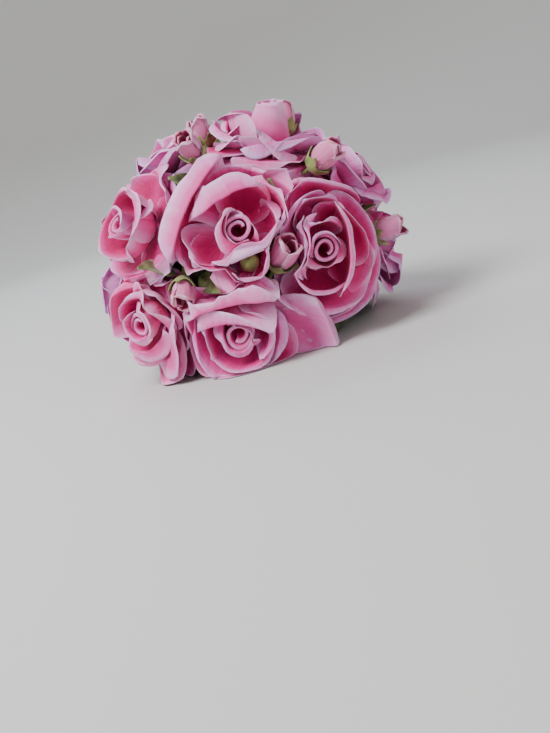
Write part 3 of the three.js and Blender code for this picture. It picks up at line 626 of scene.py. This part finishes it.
def petal_grid(p, rays=32, rows=18):
    """A petal cut from cloth and folded along straight lines: radius, angle and height, tones and UVs."""
    seed = p["seed"]
    profile = bow(p)
    length, rim_slope = profile[3], profile[2][-1]
    angles = np.radians(np.linspace(-PETAL_FAN, PETAL_FAN, rays + 1))
    heads = np.stack([np.sin(angles), np.cos(angles)])
    cut, whole, reach, crossing, lines = fit_folds(p, angles, heads, length, rim_slope)
    # Rows crowd where the cloth turns over
    turn = np.minimum(1.3 * p["roll"] * USUAL_TURN + 0.5, 0.6 * (reach - crossing))
    foot = 0.07 * whole
    knots = [0, 0.5, 0.75, 1]
    share_rows = np.linspace(0, 1, rows + 1)
    stations = np.stack([foot + 0 * reach, crossing - 0.3, crossing + turn, reach])
    along = np.array([np.interp(share_rows, knots, stations[:, k]) for k in range(rays + 1)]).T
    s, t = along * heads[0], along * heads[1]
    edge = np.clip(1 - cloth_share(p, cut, s, t), 0, 1) * 0.5 * (p["wide"] + 0.5 * whole)
    across = s / p["wide"]
    v = np.clip(t / whole, 0, 1)
    out = crease(p, s, t, whole, smooth(0.12, 0.6, along / reach))
    out = out + p["ruffle"] * np.exp(-edge / 18) * np.sin(np.pi * (1.5 * across + vary(seed, 3)))
    out = out - p["lap"] * across * smooth(0, 0.35, v)
    s, t, back = turn_over(p, s, t, lines)
    tilt = p.get("tilt", 0) * across * smooth(0.2, 1, v)
    r, turned, h = stand_up(p, profile, s, t, out + back, tilt)
    # The tint: a little at random for each petal, plus the rose's painted light and shade, lilac where cool
    # light falls and warm pink on the shaded right
    tint_by_chance_and_light = min(1, max(0, 0.5 + p.get("hue", 0) + 0.4 * vary(seed, 7)))
    paleness = np.clip(edge / (4 * p["pale"]), 0, 1)
    tone = np.stack([v, paleness, np.full_like(v, tint_by_chance_and_light), np.zeros_like(v)], axis=-1)
    uv = np.stack([0 * along + angles / 2.9 + 0.5 + 7 * vary(seed, 8), along / 60], axis=-1)
    return r, turned, h, tone, uv


def pale_rim(margin):
    """Breadth of the pale rim of a petal whose cloth turns over by a margin."""
    return min(10, max(2.4, PALE_SHARE * margin))


def spiral_grid(spin, high, columns=80, rows=16):
    """The tightly rolled petal at the centre of a rose, its rim folded back."""
    inner, pitch, turns = 3.6, 4.3, 1.6
    low, roll, margin = 10, 1.2, 4.4
    u, v = np.meshgrid(np.linspace(0, 1, columns + 1), np.linspace(0, 1, rows + 1))
    angle = math.radians(spin) + u * turns * 2 * math.pi
    base = inner + pitch * turns * u
    top = high + 0.8 * np.sin(2 * angle) * u - 13 * smooth(0.84, 1, u) ** 2 - 2.0 * (1 - u) ** 2
    whole = top - low + 0.5 * margin
    t = whole * v
    over = np.maximum(0, margin * (0.75 + 0.35 * u) - whole * (1 - v))
    carried, out = fold_back(over, roll, 2.2)
    height = low + t - over + carried
    r = base * (0.12 + 0.88 * smooth(0, 0.5, v)) + out
    r = r * (1 + 0.07 * np.sin(2 * angle + 0.6) + 0.03 * np.sin(3 * angle + spin))
    edge = whole * (1 - v)
    tone = np.stack([v, np.clip(edge / 13, 0, 1), np.full_like(v, 0.45), np.zeros_like(v)], axis=-1)
    return np.maximum(r, 0.8), angle, height, tone


def cone_grid(spin, columns=96, rows=20):
    """A closed bud: one petal rolled into a cone, open only by the turns of its roll."""
    u, v = np.meshgrid(np.linspace(0, 1, columns + 1), np.linspace(0, 1, rows + 1))
    angle = math.radians(spin) + u * 2.3 * 2 * math.pi
    low, high = 12, 46 + 1.6 * np.sin(angle + 2.2) + 2 * (1 - u) - 11 * smooth(0.88, 1, u) ** 2
    height = low + v * (high - low)
    base = (19.5 - 9.5 * v ** 1.5) * (0.22 + 0.78 * smooth(-0.1, 0.62, u)) + 1.4 * u
    lip = 1.5 * smooth(0.86, 1, v) * smooth(0.5, 0.9, u)
    edge = (high - low) * (1 - v) + 1.5 + 5 * np.sin(angle - 0.8) * v
    tone = np.stack([v, np.clip(edge / 36, 0, 1), np.full_like(v, 0.6), np.zeros_like(v)], axis=-1)
    return base + lip, angle, height, tone


# Materials
def ramp(nodes, stops):
    node = nodes.new("ShaderNodeValToRGB")
    node.color_ramp.interpolation = "EASE"
    elements = node.color_ramp.elements
    while len(elements) < len(stops):
        elements.new(0.5)
    for element, (position, colour) in zip(elements, stops):
        element.position = position
        element.color = (*colour, 1)
    return node


def mix(nodes, links, factor, one, two, blend="MIX"):
    node = nodes.new("ShaderNodeMix")
    node.data_type = "RGBA"
    node.blend_type = blend
    for socket, value in ((node.inputs[0], factor), (node.inputs[6], one), (node.inputs[7], two)):
        if isinstance(value, bpy.types.NodeSocket):
            links.new(value, socket)
        elif isinstance(value, tuple):
            socket.default_value = (*value, 1)
        else:
            socket.default_value = value
    return node.outputs[2]


def maths(nodes, links, operation, *values):
    node = nodes.new("ShaderNodeMath")
    node.operation = operation
    for socket, value in zip(node.inputs, values):
        if isinstance(value, bpy.types.NodeSocket):
            links.new(value, socket)
        else:
            socket.default_value = value
    return node.outputs[0]


def noise(nodes, links, place, scale, detail=2):
    node = nodes.new("ShaderNodeTexNoise")
    node.inputs["Scale"].default_value = scale
    node.inputs["Detail"].default_value = detail
    links.new(place, node.inputs["Vector"])
    return node.outputs[0]


def stretch(nodes, links, place, scale):
    node = nodes.new("ShaderNodeVectorMath")
    node.operation = "MULTIPLY"
    node.inputs[1].default_value = scale
    links.new(place, node.inputs[0])
    return node.outputs[0]


def bump(nodes, links, height, strength, distance, normal=None):
    node = nodes.new("ShaderNodeBump")
    node.inputs["Strength"].default_value = strength
    node.inputs["Distance"].default_value = distance
    links.new(height, node.inputs["Height"])
    if normal is not None:
        links.new(normal, node.inputs["Normal"])
    return node.outputs[0]


def silk(name, inner_stops, outer_stops):
    """Dyed silk: the stops give its colour from the rim inward, on a petal's upper side and on its back."""
    material = bpy.data.materials.new(name)
    material.use_nodes = True
    nodes, links = material.node_tree.nodes, material.node_tree.links
    shader = nodes["Principled BSDF"]
    attribute = nodes.new("ShaderNodeAttribute")
    attribute.attribute_name = "petal"
    split = nodes.new("ShaderNodeSeparateColor")
    links.new(attribute.outputs["Color"], split.inputs[0])
    edge, tint_by_chance_and_light = split.outputs[1], split.outputs[2]
    side = attribute.outputs["Alpha"]
    uv_map = nodes.new("ShaderNodeUVMap")
    uv_map.uv_map = "cloth"
    cloth = uv_map.outputs[0]
    surface = nodes.new("ShaderNodeTexCoord").outputs["Object"]
    # The dye, with streaks that fan out from the petal's foot and soft clouds
    streaks = noise(nodes, links, stretch(nodes, links, cloth, (34, 1.6, 1)), 1, detail=4)
    clouds = noise(nodes, links, surface, 70, detail=3)
    shifted = maths(nodes, links, "MULTIPLY_ADD", streaks, 0.2, edge)
    shifted = maths(nodes, links, "MULTIPLY_ADD", clouds, 0.16, shifted)
    shifted = maths(nodes, links, "SUBTRACT", shifted, 0.18)
    inner = ramp(nodes, inner_stops)
    outer = ramp(nodes, outer_stops)
    links.new(shifted, inner.inputs[0])
    links.new(shifted, outer.inputs[0])
    colour = mix(nodes, links, side, outer.outputs[0], inner.outputs[0])
    # Each petal's tint differs a little at random, and each rose's is shifted by painted light and shade:
    # lilac where cool light falls, warm pink on the shaded right
    tint = ramp(nodes, [(0, (0.84, 0.93, 1.0)), (0.5, (0.98, 1, 1)), (1, (1.0, 0.9, 0.88))])
    links.new(tint_by_chance_and_light, tint.inputs[0])
    colour = mix(nodes, links, 1.0, colour, tint.outputs[0], "MULTIPLY")
    links.new(colour, shader.inputs["Base Color"])
    # Weave, veins and broad wrinkles
    normal = bump(nodes, links, noise(nodes, links, surface, 900), 0.12, 0.0004)
    normal = bump(nodes, links, streaks, 0.5, 0.0014, normal)
    wrinkles = noise(nodes, links, stretch(nodes, links, cloth, (9, 1.3, 1)), 1)
    normal = bump(nodes, links, wrinkles, 0.55, 0.004, normal)
    links.new(normal, shader.inputs["Normal"])
    shader.inputs["Subsurface Weight"].default_value = 0.2
    shader.inputs["Subsurface Radius"].default_value = (1.0, 0.3, 0.5)
    shader.inputs["Subsurface Scale"].default_value = 0.0025
    shader.inputs["Roughness"].default_value = 0.6
    shader.inputs["Sheen Weight"].default_value = 0.2
    shader.inputs["Sheen Roughness"].default_value = 0.4
    shader.inputs["Sheen Tint"].default_value = (1, 0.78, 0.9, 1)
    shader.inputs["Specular IOR Level"].default_value = 0.3
    return material


def green_cloth(name, dark, light):
    """Matt cotton in two shades of its colour, with a weave."""
    material = bpy.data.materials.new(name)
    material.use_nodes = True
    nodes, links = material.node_tree.nodes, material.node_tree.links
    shader = nodes["Principled BSDF"]
    surface = nodes.new("ShaderNodeTexCoord").outputs["Object"]
    colours = ramp(nodes, [(0.32, dark), (0.68, light)])
    links.new(noise(nodes, links, surface, 110, detail=4), colours.inputs[0])
    links.new(colours.outputs[0], shader.inputs["Base Color"])
    normal = bump(nodes, links, noise(nodes, links, surface, 700), 0.35, 0.0005)
    links.new(normal, shader.inputs["Normal"])
    shader.inputs["Roughness"].default_value = 0.68
    shader.inputs["Sheen Weight"].default_value = 0.15
    return material


ROSE_SILK = silk(
    "rose_silk",
    [
        (0.0, (0.91, 0.48, 0.78)), (0.14, (0.92, 0.27, 0.6)), (0.32, (0.86, 0.1, 0.38)),
        (0.56, (0.7, 0.03, 0.21)), (0.95, (0.46, 0.01, 0.12)),
    ],
    [
        (0.0, (0.91, 0.5, 0.77)), (0.22, (0.9, 0.33, 0.63)), (0.55, (0.86, 0.15, 0.44)),
        (1.0, (0.68, 0.03, 0.22)),
    ],
)
BUD_SILK = silk(
    "bud_silk",
    [(0.0, (0.85, 0.62, 0.74)), (0.12, (0.78, 0.34, 0.52)), (0.3, (0.45, 0.04, 0.14))],
    [(0.0, (0.87, 0.5, 0.7)), (0.2, (0.85, 0.35, 0.56)), (0.5, (0.78, 0.22, 0.44))],
)
CALYX_CLOTH = green_cloth("calyx_cloth", (0.12, 0.17, 0.035), (0.36, 0.42, 0.13))
LEAF_CLOTH = green_cloth("leaf_cloth", (0.07, 0.11, 0.03), (0.27, 0.35, 0.12))
# The cap's dark olive is partly its own colour and partly painted shade for the gaps between the roses
CAP_CLOTH_AND_SHADE = green_cloth("cap_cloth_and_painted_shade", (0.03, 0.04, 0.015), (0.075, 0.09, 0.035))

# Camera, at the photograph's angle to the hat
RIGHT = Vector((0.96126, -0.00292, -0.27564))
UPWARD = Vector((0.26862, 0.23440, 0.93429))
FORWARD = Vector((-0.06188, 0.97214, -0.22610))
camera = bpy.data.objects.new("camera", bpy.data.cameras.new("camera"))
camera.data.sensor_width = 36
camera.data.lens = 51.6
camera.data.clip_start = 0.01
camera.data.clip_end = 30
turn = Matrix((RIGHT, UPWARD, -FORWARD)).transposed().to_4x4()
place = Vector((56.58 + CAP_FOOT[0], -965.79 + CAP_FOOT[1], 197.33)) * MM
camera.matrix_world = Matrix.Translation(place) @ turn
bpy.context.scene.collection.objects.link(camera)
bpy.context.scene.camera = camera


# The cap
def make_cap():
    columns, rows = 96, 34
    lower = 0.35  # share of the rows that lie below the widest section
    nearly_top = 0.995
    top = CAP_HEIGHT - CAP_WALL / 2
    shell = Shell()
    grid = np.zeros((rows + 1, columns + 1, 3))
    for i in range(columns + 1):
        around = 2 * math.pi * i / columns
        low = rim_height(around)
        for j in range(rows + 1):
            v = j / rows
            if v < lower:
                height = low + (CAP_WIDEST - low) * v / lower
            else:
                rise = math.sin(math.pi / 2 * (v - lower) / (1 - lower) * nearly_top)
                height = CAP_WIDEST + (top - CAP_WIDEST) * rise
            grid[j, i] = cap_point(around, height, CAP_WALL / 2)
    tone = np.zeros((rows + 1, columns + 1, 4))
    shell.add(grid, tone, CAP_WALL - 0.2)
    shell.build("cap_net", CAP_CLOTH_AND_SHADE, ["cap"])


make_cap()


# The roses
def chance_folds(seed, margin):
    """Straight folds for a petal that is pointed, has a turned top and corner, or has a slanting top."""
    choice = int(1.5 + 1.49 * vary(seed, 30))
    first, second, third = (vary(seed, k) for k in (32, 33, 34))
    most = 1.75 + 0.35 * vary(seed, 35)
    side = 1 if third > 0 else -1
    if choice == 0:
        left = (-42 + 9 * first, margin * (1.1 + 0.3 * second), most)
        right = (40 + 9 * second, margin * (1.1 + 0.3 * third), most)
        return [left, right]
    if choice == 1:
        top = (10 * first, margin * (0.8 + 0.3 * second), most)
        return [top, (side * 52, margin * (1.2 + 0.3 * first), most)]
    top = (side * (24 + 8 * first), margin * (1.2 + 0.3 * second), most)
    return [top, (-side * 50, margin * 0.6, most)]


def ring_petals(row):
    """The petals of a rose that follow the rings, each a little different."""
    petals = []
    size = row["size"]
    for k, ring in enumerate(RINGS):
        for n in range(ring["count"]):
            seed = row["spin"] + 17 * k + 3.1 * n
            p = {key: ring[key] * size for key in ("foot", "lift", "reach", "high", "wide")}
            p["reach"] *= 1 + 0.1 * vary(seed, 11)
            p["high"] *= 1 + 0.1 * vary(seed, 12)
            p["wide"] *= 1 + 0.08 * vary(seed, 13)
            margin = ring["margin"] * (1 + 0.35 * vary(seed, 16))
            p.update(
                belly=ring["belly"] + 0.2 * vary(seed, 14),
                roll=ring["roll"] * (1 + 0.3 * vary(seed, 15)),
                margin=margin,
                folds=chance_folds(seed, margin),
                lap=ring["lap"],
                turn=row["spin"] + ring["start"] + 360 / ring["count"] * n + 9 * vary(seed, 17),
                seed=seed,
                ruffle=(0.3 + 0.2 * k) * (1 + 0.4 * vary(seed, 19)),
                square=3.6 + 1.4 * vary(seed, 25),
                tilt=1.5 * k * vary(seed, 21),
                ring=k,
            )
            petals.append(p)
    return petals


def own_petals(row):
    """The large petals of a rose that the photograph shows one by one."""
    petals = []
    for n, own in enumerate(table("turn reach high wide bend folds", PETALS[row["name"]])):
        p = dict(
            foot=10, lift=6, roll=1.3, belly=0.45, lap=1.5, square=4, gain=1.3,
            ruffle=0.4 + 0.01 * own["reach"], seed=row["spin"] + 40 + 3.7 * n,
            margin=max([4] + [fold[1] for fold in own["folds"]]),
        )
        p.update(own, folds=[(fold + (USUAL_END,))[:3] for fold in own["folds"]])
        petals.append(p)
    return petals


def make_rose(room):
    row = room["row"]
    shell = Shell()
    petals = ring_petals(row)
    if row["name"] in PETALS:
        petals = [p for p in petals if p["ring"] in row["rings"]] + own_petals(row)
    for p in petals:
        # Painted light: wider pale rims and a lilac tint on the roses where cool light falls, at the top,
        # left and back, and warm pink on the shaded right
        p["pale"] = row.get("pale", 1) * p.get("pale", pale_rim(p["margin"]))
        p["hue"] = row.get("hue", 0)
        radius, angle, height, tone, uv = petal_grid(p)
        grid = settle(room, radius, angle, height, p.get("gain", 1.1), p.get("free", 0))
        shell.add(make_way(grid), tone, PETAL_WALL, uv)
    if row["name"] == "rose_top":
        radius, angle, height, tone = cone_grid(200)
    else:
        radius, angle, height, tone = spiral_grid(row["spin"] + 200, CENTRE_TOP * row["size"])
    shell.add(settle(room, radius, angle, height), tone, PETAL_WALL)
    shell.build(row["name"] + "_silk", ROSE_SILK, [row["name"]])


for room in rose_rooms():
    make_rose(room)


# Buds and calyxes
def around_axis(origin, basis, radius, angle, height):
    local = np.stack([radius * np.cos(angle), radius * np.sin(angle), height], axis=-1)
    return origin + local @ basis.T


def make_bud(row):
    origin, basis = bud_frame(row)
    closed = row["sepals"] > CLOSED
    size = row["size"] * (0.65 if closed else 1)
    length, radius = BUD_LENGTH * size, BUD_RADIUS * size
    shell = Shell()
    for k, (count, share, tall) in enumerate(((2, 0.5, 0.97), (3, 0.8, 1.0))):
        for n in range(count):
            seed = row["around"] + 13 * k + 5.3 * n
            p = dict(
                foot=0.34 * radius * share, lift=0.04 * length, belly=0.5,
                reach=radius * share * (0.8 + 0.12 * vary(seed)),
                high=0.97 * length * tall * (1 + 0.04 * vary(seed, 2)),
                wide=radius * share * 1.6, square=2.6,
                folds=[
                    (-40 + 10 * vary(seed, 4), 2 + 1.5 * k, 2.0),
                    (35 + 10 * vary(seed, 5), 2.5 + 2 * k, 2.0),
                ],
                roll=0.7, lap=0.8, ruffle=0.4, crumple=0.12, pale=pale_rim(3.5 + 2 * k),
                turn=360 / count * n + 50 * k + 12 * vary(seed, 3), seed=seed,
            )
            r, angle, h, tone, uv = petal_grid(p, rays=16, rows=14)
            shell.add(around_axis(origin, basis, r, angle, h), tone, PETAL_WALL, uv)
    shell.build("bud_" + row["name"] + "_silk", BUD_SILK, ["bud_" + row["name"]])


def make_calyx(row):
    """A green cup with five sepals, closed over the bud if it is young, and the stem under it."""
    origin, basis = bud_frame(row)
    length, radius = BUD_LENGTH * row["size"], BUD_RADIUS * row["size"]
    columns, rows = 60, 22
    u, v = np.meshgrid(np.linspace(0, 1, columns + 1), np.linspace(0, 1, rows + 1))
    angle = 2 * math.pi * u
    base = 0.1 * length
    edge = base + (0.35 * length) * row["sepals"] + 1
    point = np.abs(np.sin(2.5 * angle + row["around"])) ** 1.3
    top = edge + 0.26 * length * (0.25 + row["sepals"]) * (1 - point) ** 1.2
    if row["sepals"] > CLOSED:
        # The sepals meet over the bud
        height = base - 2 + (1.08 * length - base + 2) * v
        stations, shares = [0.04, 0.1, 0.35, 0.6, 0.85, 1.08], [0.25, 0.7, 1.08, 1.1, 0.8, 0.02]
        swell = np.interp(height / length, stations, shares) * radius
        swell = swell * (1 + 0.07 * (1 - point) * np.sin(math.pi * v)) + 0.6 * (1 - v)
    else:
        height = base - 2 + (top - base + 2) * v
        stations, shares = [0.04, 0.1, 0.3, 0.45, 0.8], [0.25, 0.62, 0.95, 1.08, 1.02]
        swell = np.interp(height / length, stations, shares) * radius + 1.1
    # The foot of the cup narrows to the stem
    foot = v / 0.08
    height = np.where(v < 0.08, base - 3.5 * (1 - foot), height)
    r = np.where(v < 0.08, STEM_RADIUS + (swell - STEM_RADIUS) * foot, swell)
    r = r + 0.8 * smooth(0.7, 1, v) * (1 - point)
    shell = Shell()
    shell.add(around_axis(origin, basis, r, angle, height), np.zeros((rows + 1, columns + 1, 4)), CALYX_WALL)
    # The stem
    columns, rows = 16, 6
    u, v = np.meshgrid(np.linspace(0, 1, columns + 1), np.linspace(0, 1, rows + 1))
    height = -row["stand"] * ROSE_HEIGHT * (1 - v) + 0.5 * v
    r = STEM_RADIUS * (1 - 0.15 * np.sin(math.pi * v))
    grid = around_axis(origin, basis, r, 2 * math.pi * u, height)
    shell.add(grid, np.zeros((rows + 1, columns + 1, 4)), CALYX_WALL)
    shell.build("calyx_" + row["name"] + "_cloth", CALYX_CLOTH, ["calyx_" + row["name"]])


for row in BUDS:
    make_bud(row)
    make_calyx(row)


# Leaves
def make_leaf(row):
    """A leaf with a toothed edge, raised veins and a wave, folded a little along its midrib and drooping."""
    axis = unit(row["towards"])
    basis = foot_basis(axis, np.cross(row["facing"], axis))
    foot = cap_point(math.radians(row["around"]), row["rise"] * CAP_HEIGHT)
    length, half = LEAF_LENGTH * row["size"], LEAF_WIDTH * row["size"] / 2
    columns, rows = 18, 30
    u, v = np.meshgrid(np.linspace(-1, 1, columns + 1), np.linspace(0, 1, rows + 1))
    breadth = np.sin(np.pi * 0.98 * v ** 0.85)
    teeth = 1 + 0.05 * np.abs(np.sin(13 * np.pi * v)) * smooth(0.1, 0.3, v)
    x = u * np.maximum(1.4, half * breadth * np.where(np.abs(u) > 0.9, teeth, 1))
    veins = 0.35 * np.abs(np.sin(np.pi * (7 * v - 2.2 * np.abs(u)))) * breadth
    wave = 1.3 * np.sin(2.2 * np.pi * v + row["around"]) * np.abs(u) ** 2
    droop, keel = 0.12, 2.5
    y = -droop * length * v * v + keel * np.abs(u) ** 1.2 * breadth + veins + wave
    grid = foot + np.stack([x, y, v * length], axis=-1) @ basis.T
    shell = Shell()
    shell.add(grid, np.zeros((rows + 1, columns + 1, 4)), LEAF_WALL)
    shell.build(row["name"] + "_cloth", LEAF_CLOTH, [row["name"]])


for row in LEAVES:
    make_leaf(row)


# Floor, a round seamless studio, in metres
def make_floor():
    level, curve, top, sides = 1.6, 0.9, 2.6, 64
    drop = 0.0002  # below the rim that rests on it
    profile = [(level, 0)]
    for a in np.linspace(0.1, math.pi / 2, 12):
        profile.append((level + curve * math.sin(a), curve - curve * math.cos(a)))
    profile.append((level + curve, top))
    points = [(0, 0, -drop)]
    for radius, height in profile:
        for i in range(sides):
            angle = 2 * math.pi * i / sides
            points.append((radius * math.cos(angle), radius * math.sin(angle), height - drop))
    faces = [(0, 1 + i, 1 + (i + 1) % sides) for i in range(sides)]
    for k in range(len(profile) - 1):
        for i in range(sides):
            a, b = 1 + k * sides + i, 1 + k * sides + (i + 1) % sides
            faces.append((a, a + sides, b + sides, b))
    mesh = bpy.data.meshes.new("floor")
    mesh.from_pydata(points, [], faces)
    mesh.polygons.foreach_set("use_smooth", [True] * len(mesh.polygons))
    paper = bpy.data.materials.new("paper")
    paper.use_nodes = True
    shader = paper.node_tree.nodes["Principled BSDF"]
    shader.inputs["Base Color"].default_value = (0.62, 0.61, 0.59, 1)
    shader.inputs["Roughness"].default_value = 0.9
    mesh.materials.append(paper)
    floor = bpy.data.objects.new("floor", mesh)
    bpy.context.scene.collection.objects.link(floor)


make_floor()


# Lights
def area(name, where, size, power, colour):
    light = bpy.data.lights.new(name, "AREA")
    light.size = size
    light.energy = power
    light.color = colour
    lamp = bpy.data.objects.new(name, light)
    lamp.location = where
    lamp.rotation_euler = (Vector((0, 0, 0.1)) - Vector(where)).to_track_quat("-Z", "Y").to_euler()
    bpy.context.scene.collection.objects.link(lamp)


area("key", (-0.9, -0.7, 1.5), 0.8, 46, (0.97, 0.98, 1.0))
area("fill", (1.2, -1.4, 0.7), 1.4, 7, (1.0, 0.97, 0.94))
area("back", (-0.5, 1.2, 1.3), 1.0, 18, (0.84, 0.9, 1.0))
world = bpy.data.worlds.new("world")
world.use_nodes = True
world.node_tree.nodes["Background"].inputs[0].default_value = (0.9, 0.92, 0.95, 1)
world.node_tree.nodes["Background"].inputs[1].default_value = 0.35
bpy.context.scene.world = world
